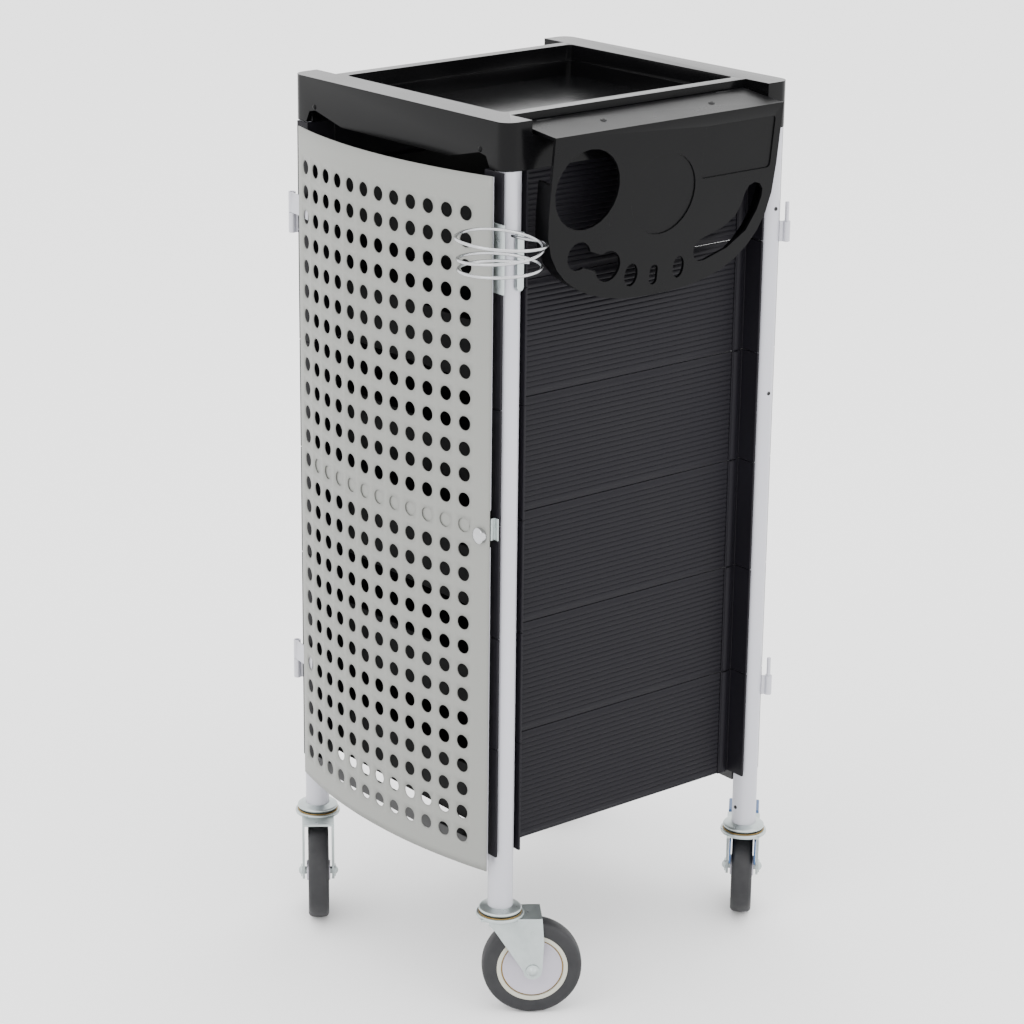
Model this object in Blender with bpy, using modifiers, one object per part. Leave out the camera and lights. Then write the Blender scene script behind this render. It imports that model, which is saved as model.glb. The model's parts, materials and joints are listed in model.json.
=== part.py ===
"""Salon roller trolley: tube frame on four casters, stacked side modules, moulded top tray,
curved door, six sliding drawers, fold-up tool holder and a wire hair-dryer coil.

Metres, +Z up, door towards -Y, tool holder towards +X, origin on the floor under the middle of
the whole trolley's box. Pieces are drawn about the middle of the four posts, and the empty that
carries them all is set so that the box is centred.
"""
import math

import bmesh
import bpy
from mathutils import Matrix, Vector

# ---------------------------------------------------------------- driving dimensions
GAP = 0.0003                    # clearance between touching pieces

post_pitch_x = 0.310
post_pitch_y = 0.330
post_diameter = 0.025
post_wall = 0.0015
caster_rise = 0.015             # lower end of a tube above the top of its wheel

module_count = 6                # on each side
module_height = 0.1145
module_wall = 0.0025
module_lift = 0.059             # lowest module above the lower end of the tubes
channel_reach = 0.011           # how far a channel wall stands out past the post's axis

tray_height = 0.0455            # from the foot of a corner leg to the rim
tray_overhang = 0.001           # tray side past the post's outer side
tray_wall = 0.003
tray_floor_top = 0.015          # well floor above the foot of a corner leg
well_rim_x = 0.0455
well_rim_y = 0.0335
well_step = 0.005
notch_depth_x = 0.032
notch_drop = 0.0140
notch_inset = 0.017             # each end of the side notch from the post's axis

door_lift = 0.045               # lower edge above the lower end of the tubes
door_left_inset = 0.010         # hinged edge inside the post's axis
door_right_reach = 0.006        # free edge past the post's axis
door_sagitta = 0.021
door_sheet = 0.0012
door_standoff = 0.0095          # back of the door's edges in front of the posts
crossbar_height = 0.021
crossbar_rise = 0.006           # crossbar's middle above the lock's axis
crossbar_sheet = 0.0015

hinge_pin_diameter = 0.004
hinge_knuckle_diameter = 0.0075
hinge_reach = 0.020             # pin axis from the post's axis
hinge_height = 0.042
hinge_rise = 0.121              # lower hinge above the door's lower edge
hinge_fall = 0.095              # upper hinge below the tray's foot

lock_inset = 0.0105             # barrel axis from the door's free edge
lock_barrel_diameter = 0.016
lock_cam_length = 0.0088
strike_height = 0.022

tool_inset = 0.0225             # each side of the plate from the post's axis
tool_flange = 0.054             # hinge axis to the outer face
tool_hinge_inset = 0.005        # hinge axis from the notch's inner wall
tool_drop = 0.1726
tool_start = (0.075, 0.060)     # where the plate's sides begin to curve in, at -y and +y
tool_sheet = 0.003
tool_lip = 0.016
tool_lean_degrees = 6.5
tool_hinge_rod = 0.003
tool_recess = 0.0012

drawer_wall = 0.0025
drawer_depth = 0.058
drawer_flange = 0.009
runner_depth = 0.010
runner_sheet = 0.004
runner_z = 0.066                # top of the runner above its module's foot
drawer_travel = 0.250

rail_height = 0.0135
rail_depth = 0.014

coil_wire = 0.003
coil_radius = 0.0428            # middle of the wire where the first turn begins
coil_shrink = 0.0058            # how much tighter the innermost turn is
coil_from_post = (0.0515, -0.0509)
coil_turns = 2.9
coil_tail = 0.018
coil_fall = 0.0465              # back of the first turn below the tray's foot
coil_marks = (0.0, 0.5, 0.8, 1.25, 2.0, 3.0)
coil_drops = (0.010, 0.0, 0.001, 0.0145, 0.027, 0.032)
bar_height = 0.056
bar_width = 0.008
bar_sheet = 0.0045

wheel_diameter = 0.100
wheel_width = 0.022
wheel_trail = 0.032
axle_diameter = 0.008
raceway_diameter = 0.043
fork_sheet = 0.0025
fork_inside = 0.029
caster_rest_degrees = {"front_right": 54.8, "front_left": -35.2,
                       "rear_right": 135.6, "rear_left": 118.0}

# ---------------------------------------------------------------- derived places
half_x = post_pitch_x / 2
half_y = post_pitch_y / 2
post_radius = post_diameter / 2
post_foot_z = wheel_diameter + caster_rise
module_bottom_z = post_foot_z + module_lift
tray_foot_z = module_bottom_z + module_count * module_height - 0.003
tray_top_z = tray_foot_z + tray_height
tray_floor_z = tray_foot_z + tray_floor_top
tray_half_x = half_x + post_radius + tray_overhang
tray_half_y = half_y + post_radius + tray_overhang
tray_corner = post_radius + tray_overhang
post_top_z = tray_foot_z + 0.021
notch_half_y = half_y - notch_inset
tool_width = post_pitch_y - 2 * tool_inset
door_bottom_z = post_foot_z + door_lift
door_top_z = tray_foot_z - 0.003
door_height = door_top_z - door_bottom_z
door_left_x = -(half_x - door_left_inset)
door_right_x = half_x + door_right_reach
hinge_z = (door_bottom_z + hinge_rise, tray_foot_z - hinge_fall)
lock_z = (door_bottom_z + door_top_z) / 2 - 0.0005
coil_top_z = tray_foot_z - coil_fall
panel_face_x = half_x - 0.011
spine_outer_x = half_x - post_radius - 0.0004
channel_end_x = half_x + channel_reach
fin_inner_y = half_y - post_radius - 0.001
fin_outer_y = half_y + post_radius + 0.0005
tool_hinge_x = tray_half_x - notch_depth_x + tool_hinge_inset
tool_hinge_z = tray_top_z - notch_drop + 0.0035
door_back_y = -(half_y + post_radius + door_standoff)
door_middle_x = (door_left_x + door_right_x) / 2
door_half_width = (door_right_x - door_left_x) / 2
door_radius = (door_half_width ** 2 + door_sagitta ** 2) / (2 * door_sagitta)
door_centre_y = door_back_y - door_sagitta + door_radius
hinge_offset = Vector((-0.58, -0.8146, 0.0)) * hinge_reach
lock_x = door_right_x - lock_inset
drawer_half_x = spine_outer_x - module_wall - runner_depth - 0.0006
drawer_flange_half_x = spine_outer_x - module_wall - 0.0008
drawer_half_y = half_y - 0.007


# ---------------------------------------------------------------- helpers
def clear_scene():
    for item in list(bpy.data.objects):
        bpy.data.objects.remove(item, do_unlink=True)


def make_collection(name):
    group = bpy.data.collections.new(name)
    bpy.context.scene.collection.children.link(group)
    return group


def material(name, color, roughness, metallic=0.0):
    mat = bpy.data.materials.new(name)
    mat.use_nodes = True
    shader = mat.node_tree.nodes["Principled BSDF"]
    shader.inputs["Base Color"].default_value = (*color, 1.0)
    shader.inputs["Roughness"].default_value = roughness
    shader.inputs["Metallic"].default_value = metallic
    mat.diffuse_color = (*color, 1.0)
    return mat


def empty(name, location, degrees_z=0.0, parent=None):
    item = bpy.data.objects.new(name, None)
    item.location = location
    item.rotation_euler = (0.0, 0.0, math.radians(degrees_z))
    item.parent = parent or trolley
    parts.objects.link(item)
    return item


def place(name, mesh, mat, parent=None, location=(0, 0, 0)):
    """Makes the named part from a mesh drawn about its own origin."""
    mesh.name = name
    mesh.materials.clear()
    own = mat.copy()
    own.name = name + "_" + mat.name
    mesh.materials.append(own)
    item = bpy.data.objects.new(name, mesh)
    item.location = location
    item.parent = parent or trolley
    parts.objects.link(item)
    return item


def box(low, high):
    """Mesh of the box between two corners."""
    low, high = Vector(low), Vector(high)
    work = bmesh.new()
    bmesh.ops.create_cube(work, size=1.0)
    size = high - low
    bmesh.ops.scale(work, vec=size, verts=work.verts)
    bmesh.ops.translate(work, vec=(low + high) / 2, verts=work.verts)
    return finish(work)


def rod(start, end, radius, sides=20):
    """Mesh of the round bar between two points."""
    start, end = Vector(start), Vector(end)
    axis = end - start
    work = bmesh.new()
    bmesh.ops.create_cone(work, cap_ends=True, segments=sides, radius1=radius, radius2=radius,
                          depth=axis.length)
    turn = axis.to_track_quat("Z", "Y").to_matrix().to_4x4()
    bmesh.ops.transform(work, matrix=Matrix.Translation((start + end) / 2) @ turn, verts=work.verts)
    return finish(work)


def finish(work):
    mesh = bpy.data.meshes.new("shape")
    work.to_mesh(mesh)
    work.free()
    return mesh


def baked(item):
    """Evaluated, welded mesh of a helper object, which is then removed."""
    bpy.context.view_layer.update()
    depsgraph = bpy.context.evaluated_depsgraph_get()
    mesh = bpy.data.meshes.new_from_object(item.evaluated_get(depsgraph))
    work = bmesh.new()
    work.from_mesh(mesh)
    bmesh.ops.remove_doubles(work, verts=work.verts, dist=1e-5)
    bmesh.ops.dissolve_degenerate(work, edges=work.edges, dist=1e-5)
    work.to_mesh(mesh)
    work.free()
    data = item.data
    bpy.data.objects.remove(item, do_unlink=True)
    if isinstance(data, bpy.types.Curve):
        bpy.data.curves.remove(data)
    return mesh


def prism(outlines, low, high, plane="XY"):
    """Flat outlines (the first solid, the others holes) given the thickness low..high.

    plane XY stands along Z, XZ along Y and YZ along X.
    """
    curve = bpy.data.curves.new("outline", "CURVE")
    curve.dimensions = "2D"
    curve.fill_mode = "BOTH"
    curve.extrude = (high - low) / 2
    for outline in outlines:
        spline = curve.splines.new("POLY")
        spline.points.add(len(outline) - 1)
        for point, (u, v) in zip(spline.points, outline):
            point.co = (u, v, 0.0, 1.0)
        spline.use_cyclic_u = True
    item = bpy.data.objects.new("outline", curve)
    parts.objects.link(item)
    mesh = baked(item)
    mesh.transform(Matrix.Translation((0, 0, (low + high) / 2)))
    if plane == "XZ":
        mesh.transform(Matrix(((1, 0, 0, 0), (0, 0, -1, 0), (0, 1, 0, 0), (0, 0, 0, 1))))
        mesh.transform(Matrix.Translation((0, low + high, 0)))
    if plane == "YZ":
        mesh.transform(Matrix(((0, 0, 1, 0), (1, 0, 0, 0), (0, 1, 0, 0), (0, 0, 0, 1))))
    return mesh


def turned(profile, sides=24):
    """Profile of (radius, z) points, top to bottom, turned about Z."""
    mesh = bpy.data.meshes.new("profile")
    mesh.from_pydata([(r, 0.0, z) for r, z in profile],
                     [(i, i + 1) for i in range(len(profile) - 1)], [])
    item = bpy.data.objects.new("profile", mesh)
    parts.objects.link(item)
    screw = item.modifiers.new("turn", "SCREW")
    screw.steps = screw.render_steps = sides
    screw.use_merge_vertices = True
    screw.merge_threshold = 0.000001
    return baked(item)


def ring_tube(outer, inner, low, high, sides=24):
    """Round tube along Z, open right through."""
    return turned([(inner, high), (outer, high), (outer, low), (inner, low), (inner, high)], sides)


def circle(u, v, radius, sides=24, start=0.0):
    return [(u + radius * math.cos(start + 2 * math.pi * i / sides),
             v + radius * math.sin(start + 2 * math.pi * i / sides)) for i in range(sides)]


def rounded(u0, v0, u1, v1, radius, steps=4):
    """Outline of a rectangle with round corners."""
    points = []
    corners = ((u1 - radius, v1 - radius, 0), (u0 + radius, v1 - radius, 90),
               (u0 + radius, v0 + radius, 180), (u1 - radius, v0 + radius, 270))
    for u, v, first in corners:
        for i in range(steps + 1):
            angle = math.radians(first + 90 * i / steps)
            points.append((u + radius * math.cos(angle), v + radius * math.sin(angle)))
    return points


def combine(base, others, operation):
    """Exact Boolean of meshes; the cutters are kept hidden in their own collection."""
    item = bpy.data.objects.new("base", base)
    parts.objects.link(item)
    for other in others:
        tool = bpy.data.objects.new("cutter", other)
        tool.hide_render = True
        tool.display_type = "WIRE"
        cutters.objects.link(tool)
        modifier = item.modifiers.new("cut", "BOOLEAN")
        modifier.operation = operation
        modifier.solver = "EXACT"
        modifier.object = tool
    return baked(item)


def union(base, *others):
    return combine(base, others, "UNION")


def cut(base, *others):
    return combine(base, others, "DIFFERENCE")


def moved(mesh, x=0.0, y=0.0, z=0.0):
    mesh.transform(Matrix.Translation((x, y, z)))
    return mesh


def mirrored(mesh, axis):
    """Copy of a mesh mirrored across x = 0 or y = 0."""
    copy = mesh.copy()
    signs = (-1, 1, 1, 1) if axis == "X" else (1, -1, 1, 1)
    copy.transform(Matrix.Diagonal(signs))
    copy.flip_normals()
    return copy


def smooth(item, degrees=35):
    item.data.shade_smooth()
    item.data.set_sharp_from_angle(angle=math.radians(degrees))
    return item


# ---------------------------------------------------------------- frame
corners = {"front_left": (-half_x, -half_y), "front_right": (half_x, -half_y),
           "rear_left": (-half_x, half_y), "rear_right": (half_x, half_y)}


def make_posts():
    for corner, (x, y) in corners.items():
        tube = ring_tube(post_radius, post_radius - post_wall, post_foot_z, post_top_z)
        smooth(place("post_" + corner, tube, steel, location=(x, y, 0)))


def make_rails():
    length = post_pitch_x - post_diameter - 2 * GAP
    top = module_bottom_z - GAP
    for name, y in (("bottom_rail_front", -half_y), ("bottom_rail_rear", half_y)):
        bar = box((-length / 2, y - rail_depth / 2, top - rail_height),
                  (length / 2, y + rail_depth / 2, top))
        place(name, bar, black)


def module_half(outer_reach):
    """Plan of a right-hand module from y = 0 to its rear edge, with that channel wall's reach."""
    face, inner = panel_face_x, panel_face_x - module_wall
    spine_inner = spine_outer_x - module_wall
    bead = (half_y - 0.031, half_y - 0.020)
    wall = module_wall
    return [(face, bead[0]), (face + 0.002, bead[0]), (face + 0.002, bead[1]),
            (face, bead[1]), (face, fin_inner_y - wall), (channel_end_x, fin_inner_y - wall),
            (channel_end_x, fin_inner_y), (spine_outer_x, fin_inner_y),
            (spine_outer_x, fin_outer_y), (outer_reach, fin_outer_y),
            (outer_reach, fin_outer_y + wall), (spine_inner, fin_outer_y + wall),
            (spine_inner, fin_inner_y - 0.004), (inner, fin_inner_y - 0.006)]


def make_modules():
    """Right and left modules are one moulding, turned half round about Z; the top ones are
    trimmed under the tray's corner legs."""
    front = module_half(channel_end_x)
    rear = module_half(channel_end_x - 0.008)
    outline = rear + [(x, -y) for x, y in reversed(front)]
    spine_inner = spine_outer_x - module_wall
    for number in range(1, module_count + 1):
        z = module_bottom_z + (number - 1) * module_height + GAP
        plate = prism([outline], 0.0, min(module_height - 2 * GAP, tray_foot_z - GAP - z))
        runner = box((spine_inner - runner_depth, -drawer_half_y, runner_z - runner_sheet),
                     (spine_inner + 0.001, drawer_half_y, runner_z))
        right = union(plate, runner)
        left = right.copy()
        left.transform(Matrix.Rotation(math.pi, 4, "Z"))
        place(f"side_module_right_{number}", right, black, location=(0, 0, z))
        place(f"side_module_left_{number}", left, black, location=(0, 0, z))


# ---------------------------------------------------------------- top tray
def ear_outline():
    """Cut under the front and rear skirt: shallow in the middle, deeper beside each leg."""
    foot = tray_foot_z
    half = [(half_x - 0.009, foot - 0.002), (half_x - 0.016, foot + 0.0115),
            (half_x - 0.026, foot + 0.0135), (half_x - 0.045, foot + 0.009),
            (half_x - 0.070, foot + 0.003)]
    return half + [(-x, z) for x, z in reversed(half)]


def make_tray():
    block = prism([rounded(-tray_half_x, -tray_half_y, tray_half_x, tray_half_y, tray_corner, 6)],
                  tray_foot_z, tray_top_z)
    well_x, well_y = tray_half_x - well_rim_x, tray_half_y - well_rim_y
    ledge_z = (tray_floor_z + tray_top_z) / 2
    upper = prism([rounded(-well_x, -well_y, well_x, well_y, 0.006, 3)], ledge_z, tray_top_z + 0.01)
    lower = prism([rounded(-well_x + well_step, -well_y + well_step, well_x - well_step,
                           well_y - well_step, 0.006, 3)], tray_floor_z, tray_top_z + 0.005)
    pocket_top = tray_floor_z - tray_wall
    leg = 2 * post_radius + 0.004
    in_x, in_y = tray_half_x - tray_wall, tray_half_y - tray_wall
    bottom = tray_foot_z - 0.01
    pockets = [box((-tray_half_x + leg, -in_y, bottom), (tray_half_x - leg, in_y, pocket_top)),
               box((-in_x, -tray_half_y + leg, bottom - 0.001),
                   (in_x, tray_half_y - leg, pocket_top + 0.0001))]
    notch = box((tray_half_x - notch_depth_x, -notch_half_y, tray_top_z - notch_drop),
                (tray_half_x + 0.01, notch_half_y, tray_top_z + 0.01))
    notches = [notch, mirrored(notch, "X")]
    ears = [prism([ear_outline()], -tray_half_y - 0.005, -tray_half_y + tray_wall + 0.001, "XZ"),
            prism([ear_outline()], tray_half_y - tray_wall - 0.001, tray_half_y + 0.005, "XZ")]
    sockets = [moved(rod((0, 0, tray_foot_z - 0.01), (0, 0, post_top_z + GAP),
                         post_radius + GAP, 24), x, y) for x, y in corners.values()]
    place("top_tray", cut(block, upper, lower, *pockets, *notches, *ears, *sockets), black)


# ---------------------------------------------------------------- door, hinges and lock
def arc_points(radius, x0, x1, steps):
    """Points on the door's plan arc of the given radius, from x0 to x1."""
    points = []
    for i in range(steps + 1):
        x = x0 + (x1 - x0) * i / steps
        points.append((x, door_centre_y - math.sqrt(radius ** 2 - (x - door_middle_x) ** 2)))
    return points


def door_depth(x):
    """Y of the back of the door sheet at x."""
    return door_centre_y - math.sqrt(door_radius ** 2 - (x - door_middle_x) ** 2)


def curved_sheet(x0, x1, inner_radius, thickness, low, high, steps):
    """Sheet that follows the door's arc."""
    inner = arc_points(inner_radius, x0, x1, steps)
    outer = arc_points(inner_radius + thickness, x0, x1, steps)
    return prism([outer + inner[::-1]], low, high)


def make_door(hinge_x, hinge_y):
    """Door parts; their meshes are drawn about the hinge axis."""
    sheet = curved_sheet(door_left_x, door_right_x, door_radius, door_sheet,
                         door_bottom_z, door_top_z, 18)
    lock_hole = rod((lock_x, door_back_y - 0.03, lock_z), (lock_x, door_back_y + 0.01, lock_z),
                    lock_barrel_diameter / 2 + GAP, 24)
    panel = moved(cut(sheet, lock_hole), -hinge_x, -hinge_y)
    smooth(place("door_panel", panel, steel, door_axis))

    bar_radius = door_radius - GAP - crossbar_sheet
    bar = curved_sheet(door_left_x + 0.022, lock_x - 0.014, bar_radius, crossbar_sheet,
                       lock_z + crossbar_rise - crossbar_height / 2,
                       lock_z + crossbar_rise + crossbar_height / 2, 16)
    smooth(place("door_crossbar", moved(bar, -hinge_x, -hinge_y), steel, door_axis))

    for name, z in zip(("lower", "upper"), hinge_z):
        middle = z + GAP
        knuckle = ring_tube(hinge_knuckle_diameter / 2, hinge_pin_diameter / 2 + GAP,
                            middle, z + hinge_height / 2, 16)
        end_x = door_left_x + 0.020
        seat = door_depth(door_left_x) + GAP
        seat_end = door_depth(end_x) + GAP
        leaf = 0.0015
        outer = hinge_knuckle_diameter / 2 - 0.0006
        outline = [(hinge_x + 0.002, hinge_y - outer), (door_left_x, seat),
                   (end_x, seat_end), (end_x, seat_end + leaf),
                   (door_left_x, seat + leaf), (hinge_x + 0.0025, hinge_y - outer + leaf)]
        plate = prism([outline], middle, z + hinge_height / 2)
        clear = moved(rod((0, 0, middle - 0.01), (0, 0, z + hinge_height / 2 + 0.01),
                          hinge_pin_diameter / 2 + GAP, 16), hinge_x, hinge_y)
        leaf_mesh = cut(union(moved(knuckle, hinge_x, hinge_y), plate), clear)
        smooth(place("door_leaf_" + name, moved(leaf_mesh, -hinge_x, -hinge_y), steel, door_axis))


def bracket(x, y, offset, z):
    """Post bracket: a web to the lower knuckle, with the hinge pin standing in it."""
    way = offset.normalized()
    side = Vector((-way.y, way.x, 0)) * 0.001
    start, end = way * (post_radius + GAP), offset
    corners_2d = [start - side, end - side, end + side, start + side]
    top = z - GAP
    web = prism([[(c.x, c.y) for c in corners_2d]], z - hinge_height / 2, top)
    knuckle = rod((offset.x, offset.y, z - hinge_height / 2), (offset.x, offset.y, top),
                  hinge_knuckle_diameter / 2, 16)
    pin = rod((offset.x, offset.y, z - hinge_height / 2 + 0.004),
              (offset.x, offset.y, z + hinge_height / 2 - 0.002), hinge_pin_diameter / 2, 16)
    return moved(union(web, knuckle, pin), x, y)


def make_brackets():
    for name, z in zip(("lower", "upper"), hinge_z):
        smooth(place("hinge_bracket_front_" + name,
                     bracket(-half_x, -half_y, hinge_offset, z), steel))
        smooth(place("hinge_bracket_rear_" + name,
                     bracket(half_x, half_y, -hinge_offset, z), steel))


def make_lock():
    """Barrel with a domed face, and the cam that turns behind the strike; drawn about its axis."""
    front = door_depth(lock_x) - door_sheet
    face_y = front - 0.0030
    radius = lock_barrel_diameter / 2
    neck = 0.0039
    cam_y = (door_back_y + 0.0022, door_back_y + 0.0038)
    profile = [(0.0, -face_y + 0.0022), (radius * 0.5, -face_y + 0.0018),
               (radius * 0.85, -face_y + 0.0010), (radius, -face_y),
               (radius, -door_back_y - 0.0002), (neck, -door_back_y - 0.0002),
               (neck, -cam_y[1]), (0.0, -cam_y[1])]
    barrel = turned(profile, 24)
    barrel.transform(Matrix.Rotation(math.radians(90), 4, "X"))
    tongue = box((-neck, cam_y[0], -lock_cam_length), (neck, cam_y[1], 0.0))
    smooth(place("door_lock", union(barrel, tongue), steel, lock_axis))


def make_strike():
    """Angle on the front right channel wall; its tongue stands between door and cam."""
    tongue_y = (door_back_y + 0.0006, door_back_y + 0.0018)
    foot_y = (-(fin_outer_y + module_wall + GAP + 0.0012), -(fin_outer_y + module_wall + GAP))
    low, high = lock_z - 0.0035, lock_z - 0.0035 + strike_height
    edge = door_right_x + 0.0004
    tongue = box((lock_x + 0.0047, tongue_y[0], low), (edge, tongue_y[1], high))
    riser = box((edge - 0.0012, tongue_y[0] + 0.0001, low), (edge, foot_y[1], high))
    foot = box((edge - 0.0011, foot_y[0], low), (channel_end_x, foot_y[1], high))
    place("lock_strike", union(tongue, riser, foot), steel)


# ---------------------------------------------------------------- tool holder
def shield(width, starts, depth, steps=10, inset=0.0):
    """Outline across y and drop: straight sides, then a superellipse, a little fuller at -y."""
    half = width / 2 - inset
    points = [(-half, inset), (-half, starts[0])]
    for i in range(1, 2 * steps):
        angle = math.pi * i / (2 * steps)
        y = -math.cos(angle)
        power, start = (2.4, starts[0]) if y < 0 else (2.6, starts[1])
        reach = depth - start - inset
        points.append((y * half, start + reach * (1 - abs(y) ** power) ** (1 / power)))
    return points + [(half, starts[1]), (half, inset)]


def banana(points, width, steps=5):
    """Outline of a slot of even width along a bent middle line, with round ends."""
    left, right = [], []
    for i, point in enumerate(points):
        before, after = points[max(i - 1, 0)], points[min(i + 1, len(points) - 1)]
        way = Vector((after[0] - before[0], after[1] - before[1])).normalized()
        side = Vector((-way.y, way.x)) * width / 2
        left.append((point[0] + side.x, point[1] + side.y))
        right.append((point[0] - side.x, point[1] - side.y))
    outline = list(left)
    for middle, begin in ((points[-1], left[-1]), (points[0], right[0])):
        first = math.atan2(begin[1] - middle[1], begin[0] - middle[0])
        for i in range(1, steps):
            angle = first - math.pi * i / steps
            outline.append((middle[0] + width / 2 * math.cos(angle),
                            middle[1] + width / 2 * math.sin(angle)))
        if middle is points[-1]:
            outline += right[::-1]
    return outline


def ellipse(u, v, half_u, half_v, sides=16):
    return [(u + half_u * math.cos(2 * math.pi * i / sides),
             v + half_v * math.sin(2 * math.pi * i / sides)) for i in range(sides)]


def tool_holes():
    """Through holes in the plate, as outlines across y and drop; the last three make one slot."""
    dryer = circle(-0.0980, 0.0550, 0.0390, 24)
    slot = banana([(0.1165, 0.0885), (0.1125, 0.1010), (0.1035, 0.1165), (0.0840, 0.1285),
                   (0.0565, 0.1365)], 0.0235)
    holes = [ellipse(-0.0330, 0.1483, 0.00825, 0.0115), ellipse(0.0272, 0.1495, 0.00715, 0.0110),
             rounded(-0.0092, 0.1424, 0.0008, 0.1624, 0.0047, 3)]
    tongs = [circle(-0.1010, 0.1195, 0.0140, 18), circle(-0.0635, 0.1350, 0.0153, 18),
             banana([(-0.0980, 0.1215), (-0.0675, 0.1330)], 0.0165, 3)]
    return [dryer, slot] + holes + tongs


def make_tool_holder():
    """Flange over the hinge rod, plate, lip and two shallow recesses, drawn about the rod."""
    rod_radius = tool_hinge_rod / 2
    half = tool_width / 2
    outer_x = tool_flange
    inner_x = outer_x - tool_sheet
    top = 0.0032

    def outline(inset=0.0):
        return [(y, -drop) for y, drop in shield(tool_width, tool_start, tool_drop, inset=inset)]

    def pocket(shape, low, high):
        return prism([[(y, -drop) for y, drop in shape]], low, high, "YZ")

    slab = prism([outline()], inner_x - tool_lip, outer_x, "YZ")
    hollow = prism([outline(0.0025)], inner_x - 2 * tool_lip, inner_x, "YZ")
    above = box((inner_x - 2 * tool_lip, -half - 0.01, -0.045), (inner_x, half + 0.01, 0.01))
    holes = [pocket(hole, inner_x - 0.002, outer_x + 0.002) for hole in tool_holes()]
    floor_x = outer_x - tool_recess
    recesses = [pocket(circle(-0.0020, 0.0720, 0.0400, 32), floor_x, outer_x + 0.003),
                pocket(rounded(0.0440, 0.0120, 0.1340, 0.0640, 0.004, 3), floor_x, outer_x + 0.003)]
    shell = cut(slab, hollow, above, *holes, *recesses)

    flange = box((-0.0025, -half + 0.0004, -tool_sheet - 0.0004),
                 (outer_x - 0.001, half - 0.0004, -0.0004))
    eyes = [rod((0, y - 0.009, -top), (0, y + 0.009, -top), rod_radius + 0.0017, 16)
            for y in (-half + 0.030, half - 0.030)]
    bore = rod((0, -half - 0.01, -top), (0, half + 0.01, -top), rod_radius + GAP, 12)
    mesh = cut(union(shell, flange, *eyes), bore)
    mesh.transform(Matrix.Translation((0, 0, top)))
    item = smooth(place("tool_panel", mesh, black, tool_axis))
    item.rotation_euler = (0.0, math.radians(tool_lean_degrees), 0.0)

    ends = notch_half_y - GAP
    smooth(place("tool_hinge_rod", rod((0, -ends, 0), (0, ends, 0), rod_radius, 12), steel,
                 location=(tool_hinge_x, 0, tool_hinge_z)))


# ---------------------------------------------------------------- dryer coil
def coil_point(turns):
    """Middle of the wire after so many turns from the back of the ring, clockwise from above."""
    centre_x = half_x + coil_from_post[0]
    centre_y = -half_y + coil_from_post[1]
    angle = math.pi / 2 - 2 * math.pi * turns
    radius = coil_radius - coil_shrink * (1 - math.exp(-0.9 * turns))
    k = max(i for i, mark in enumerate(coil_marks[:-1]) if mark <= turns)
    share = (turns - coil_marks[k]) / (coil_marks[k + 1] - coil_marks[k])
    drop = coil_drops[k] + (coil_drops[k + 1] - coil_drops[k]) * share
    return Vector((centre_x + radius * math.cos(angle), centre_y + radius * math.sin(angle),
                   coil_top_z - drop))


def coil_route(start_x):
    """Straight lead from the mount bar, the turns, and a short straight tail."""
    steps_per_turn = 18
    count = round(coil_turns * steps_per_turn)
    points = [coil_point(i / steps_per_turn) for i in range(count + 1)]
    first = Vector((start_x, points[0].y, points[0].z - 0.002))
    way = (points[-1] - points[-2]).normalized()
    return [first] + points + [points[-1] + way * coil_tail]


def wire_curve(name, points, thickness):
    curve = bpy.data.curves.new(name, "CURVE")
    curve.dimensions = "3D"
    curve.bevel_depth = thickness / 2
    curve.bevel_resolution = 2
    curve.use_fill_caps = True
    spline = curve.splines.new("POLY")
    spline.points.add(len(points) - 1)
    for point, co in zip(spline.points, points):
        point.co = (*co, 1.0)
    item = bpy.data.objects.new(name, curve)
    parts.objects.link(item)
    return baked(item)


def make_coil():
    bar_x = half_x + post_radius + 0.0005
    bar_y = -half_y + 0.002
    top = coil_top_z - coil_drops[0]
    bar = prism([[(bar_y - bar_width / 2 + x, z) for x, z in
                  [(0.0, top), (0.0, top - bar_height + 0.004), (0.0012, top - bar_height + 0.001),
                   (0.004, top - bar_height), (0.0068, top - bar_height + 0.001),
                   (0.008, top - bar_height + 0.004), (0.008, top)]]],
                bar_x, bar_x + bar_sheet, "YZ")
    place("coil_mount_bar", bar, steel)
    route = coil_route(bar_x + bar_sheet + GAP)
    smooth(place("dryer_coil", wire_curve("wire", route, coil_wire), steel), 60)
    plate_y = -(fin_outer_y + module_wall + GAP)
    clamp = box((half_x - 0.009, plate_y - 0.0019, top - bar_height - 0.001),
                (half_x + 0.016, plate_y, top + 0.009))
    place("coil_clamp_plate", clamp, zinc)


# ---------------------------------------------------------------- drawers
def make_drawers():
    body_x, wall = drawer_half_x, drawer_wall
    lip_x = drawer_flange_half_x
    for number in range(1, module_count + 1):
        z = module_bottom_z + (number - 1) * module_height + runner_z + 2 * GAP
        tub = box((-body_x, -drawer_half_y, -drawer_depth), (body_x, drawer_half_y, 0.001))
        rim = box((-lip_x, -drawer_half_y, 0.0), (lip_x, drawer_half_y, 0.002))
        hollow = box((-body_x + wall, -drawer_half_y + wall, -drawer_depth + wall),
                     (body_x - wall, drawer_half_y - wall, 0.01))
        place(f"drawer_{number}", cut(union(tub, rim), hollow), black, location=(0, 0, z))


# ---------------------------------------------------------------- casters
def fork_leg():
    """Side view of a fork leg: wide at the crown, round about the axle."""
    axle_z = wheel_diameter / 2
    foot = [(wheel_trail + 0.0095 * math.cos(math.radians(a)),
             axle_z + 0.0095 * math.sin(math.radians(a))) for a in range(0, -181, -30)]
    crown_z = post_foot_z - 0.0085
    return [(-0.012, crown_z), (0.041, crown_z), (0.043, axle_z + 0.030),
            (0.0418, axle_z + 0.006)] + foot + [(-0.006, crown_z - 0.0125),
                                                (-0.012, crown_z - 0.0065)]


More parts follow.
